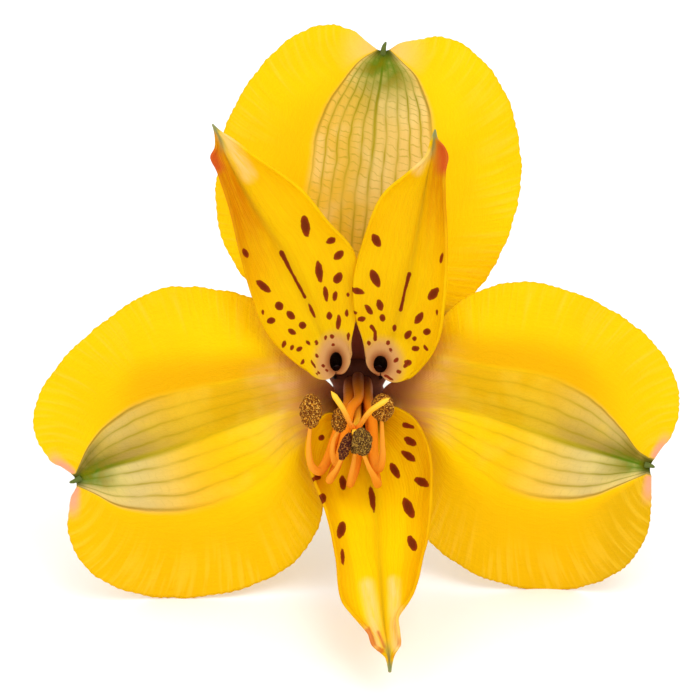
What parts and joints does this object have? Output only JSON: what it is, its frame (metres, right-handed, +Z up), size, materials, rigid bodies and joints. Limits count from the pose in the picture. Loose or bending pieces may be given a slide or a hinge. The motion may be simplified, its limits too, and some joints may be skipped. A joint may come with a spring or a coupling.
{
  "type": "alstroemeria flower",
  "caption": "Cut yellow alstroemeria flower with brown-flecked inner tepals, lying on its side tepals and its own short stalk.",
  "frame": {"origin": "on the surface that the flower lies on, in the middle of its footprint", "axes": "+Z up, +Y along the stalk towards its cut end, and the open face looks to -Y and up, 27 degrees above level"},
  "size_m": [0.0674, 0.0918, 0.0547],
  "materials": {
    "outer_tepal": "satin petal, yellow",
    "inner_tepal": "satin petal, yellow with brown flecks",
    "filament": "satin, orange",
    "anther": "matt pollen, ochre brown",
    "style": "satin, orange yellow",
    "ovary": "satin, green",
    "stalk": "satin, green"
  },
  "bodies": {
    "root": {"outer_tepal_top": "outer_tepal", "outer_tepal_left": "outer_tepal", "outer_tepal_right": "outer_tepal", "inner_tepal_left": "inner_tepal", "inner_tepal_right": "inner_tepal", "inner_tepal_lower": "inner_tepal", "filament_1": "filament", "filament_2": "filament", "filament_3": "filament", "filament_4": "filament", "filament_5": "filament", "filament_6": "filament", "anther_1": "anther", "anther_2": "anther", "anther_3": "anther", "anther_4": "anther", "anther_5": "anther", "anther_6": "anther", "style": "style", "ovary": "ovary", "stalk": "stalk"}
  },
  "joints": []
}
